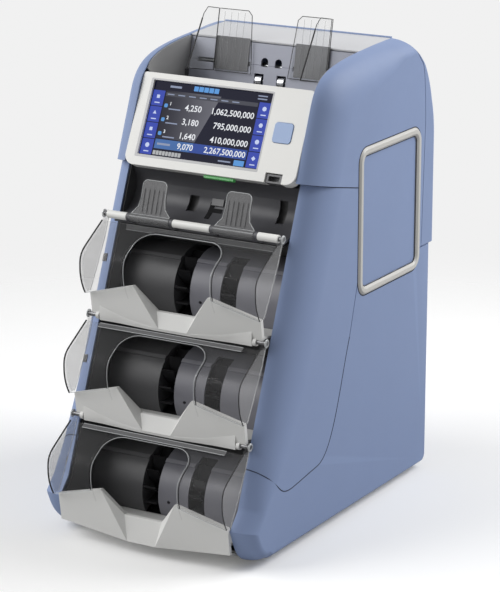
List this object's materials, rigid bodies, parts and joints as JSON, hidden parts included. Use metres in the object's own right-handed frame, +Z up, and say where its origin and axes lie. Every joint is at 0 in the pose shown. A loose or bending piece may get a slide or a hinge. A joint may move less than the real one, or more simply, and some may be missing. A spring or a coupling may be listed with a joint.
{
  "type": "banknote counter",
  "caption": "Desktop banknote counter and sorter with a feed hopper, tilted touch screen, reject pocket and stacker pockets under hinged smoked visors.",
  "frame": {"origin": "on the floor under the middle of the machine's bounding box", "axes": "+Z up, -Y to the front where the pockets and the display are, +X to the operator's right"},
  "size_m": [0.279, 0.45, 0.5616],
  "materials": {
    "painted_blue": "satin moulded, lightly textured",
    "cream": "satin moulded",
    "tray_grey": "fine texture",
    "trim_grey": "satin",
    "lavender": "satin",
    "charcoal": "matt texture",
    "guide_grey": "satin",
    "black_rubber": "matt",
    "steel": "brushed",
    "chrome": "polished",
    "bronze": "sintered",
    "smoke": "clear smoked plastic",
    "clear": "clear plastic",
    "finger_smoke": "smoked ribbed plastic",
    "screen": "glossy touch panel",
    "button_blue": "soft gloss",
    "light_green": "diffused lens",
    "black_plastic": "satin",
    "zinc": "plated sheet"
  },
  "bodies": {
    "chassis": {"base_plate": "zinc", "feet": "black_rubber", "left_frame": "charcoal", "right_frame": "charcoal", "left_upper_cover": "painted_blue", "right_upper_cover": "painted_blue", "left_front_cover": "painted_blue", "right_front_cover": "painted_blue", "left_base_cover": "painted_blue", "right_base_cover": "painted_blue", "left_trim_ring": "trim_grey", "right_trim_ring": "trim_grey", "left_insert_panel": "painted_blue", "right_insert_panel": "painted_blue", "rear_panel": "painted_blue", "top_cover": "cream", "hopper_back_plate": "lavender", "hopper_floor": "charcoal", "left_hopper_wall": "charcoal", "right_hopper_wall": "charcoal", "display_bezel": "cream", "display_screen": "screen", "usb_socket": "black_plastic", "status_light": "light_green", "reject_chute": "charcoal", "hinge_rods": "steel", "bar_sleeves": "cream", "tray_1": "tray_grey", "tray_2": "tray_grey", "tray_3": "tray_grey", "dark_guide_1": "charcoal", "dark_guide_2": "charcoal", "dark_guide_3": "charcoal", "grey_guide_1": "guide_grey", "grey_guide_2": "guide_grey", "grey_guide_3": "guide_grey", "shaft_bushes": "bronze", "guide_rail": "steel", "power_supply": "zinc", "mains_inlet": "black_plastic"},
    "hood": {"rear_hood": "painted_blue"},
    "button": {"start_button": "button_blue"},
    "switch": {"power_switch": "black_plastic"},
    "left_finger": {"left_reject_finger": "finger_smoke"},
    "right_finger": {"right_reject_finger": "finger_smoke"},
    "visor_a": {"visor_1": "smoke"},
    "visor_b": {"visor_2": "smoke"},
    "visor_c": {"visor_3": "smoke"},
    "left_guide": {"left_note_guide": "clear", "left_guide_slider": "charcoal"},
    "right_guide": {"right_note_guide": "clear", "right_guide_slider": "charcoal"},
    "stacker_a": {"stacker_shaft_1": "steel", "stacker_wheels_1": "black_rubber"},
    "stacker_b": {"stacker_shaft_2": "steel", "stacker_wheels_2": "black_rubber"},
    "stacker_c": {"stacker_shaft_3": "steel", "stacker_wheels_3": "black_rubber"},
    "gate": {"gate_rollers": "chrome"},
    "pickup": {"pickup_rollers": "black_rubber"}
  },
  "joints": [
    {"name": "hood_hinge", "type": "hinge", "parent": "chassis", "child": "hood", "pos_m": [0, 0.218, 0.279], "axis": [-1, 0, 0], "range_deg": [0, 55]},
    {"name": "start_press", "type": "slide", "parent": "chassis", "child": "button", "axis": [0, 0.9011, -0.4337], "range_m": [0, 0.0015], "stiffness_N_per_m": 900},
    {"name": "switch_rock", "type": "hinge", "parent": "chassis", "child": "switch", "pos_m": [-0.022, 0.2115, 0.04], "axis": [-1, 0, 0], "range_deg": [0, 16]},
    {"name": "left_finger_hinge", "type": "hinge", "parent": "chassis", "child": "left_finger", "pos_m": [-0.054, -0.101, 0.3486], "axis": [1, 0, 0], "range_deg": [0, 45]},
    {"name": "right_finger_hinge", "type": "hinge", "parent": "chassis", "child": "right_finger", "pos_m": [0.054, -0.101, 0.3486], "axis": [1, 0, 0], "range_deg": [0, 45]},
    {"name": "visor_1_hinge", "type": "hinge", "parent": "chassis", "child": "visor_a", "pos_m": [0, -0.101, 0.3486], "axis": [-1, 0, 0], "range_deg": [0, 55]},
    {"name": "visor_2_hinge", "type": "hinge", "parent": "chassis", "child": "visor_b", "pos_m": [0, -0.1358, 0.2413], "axis": [-1, 0, 0], "range_deg": [0, 55]},
    {"name": "visor_3_hinge", "type": "hinge", "parent": "chassis", "child": "visor_c", "pos_m": [0, -0.1706, 0.134], "axis": [-1, 0, 0], "range_deg": [0, 55]},
    {"name": "left_guide_slide", "type": "slide", "parent": "chassis", "child": "left_guide", "axis": [1, 0, 0], "range_m": [-0.03, 0.017]},
    {"name": "right_guide_slide", "type": "slide", "parent": "chassis", "child": "right_guide", "axis": [-1, 0, 0], "range_m": [-0.03, 0.017]},
    {"name": "stacker_1_spin", "type": "hinge", "parent": "chassis", "child": "stacker_a", "pos_m": [0, -0.0405, 0.264], "axis": [1, 0, 0], "continuous": true},
    {"name": "stacker_2_spin", "type": "hinge", "parent": "chassis", "child": "stacker_b", "pos_m": [0, -0.0753, 0.1567], "axis": [1, 0, 0], "continuous": true},
    {"name": "stacker_3_spin", "type": "hinge", "parent": "chassis", "child": "stacker_c", "pos_m": [0, -0.1101, 0.0494], "axis": [1, 0, 0], "continuous": true},
    {"name": "gate_spin", "type": "hinge", "parent": "chassis", "child": "gate", "pos_m": [0, 0.07225, 0.47864], "axis": [1, 0, 0], "continuous": true},
    {"name": "pickup_spin", "type": "hinge", "parent": "chassis", "child": "pickup", "pos_m": [0, 0.0225, 0.46535], "axis": [1, 0, 0], "continuous": true}
  ],
  "couplings": [
    {"joint": "stacker_2_spin", "follows": "stacker_1_spin", "ratio": 1},
    {"joint": "stacker_3_spin", "follows": "stacker_1_spin", "ratio": 1}
  ]
}
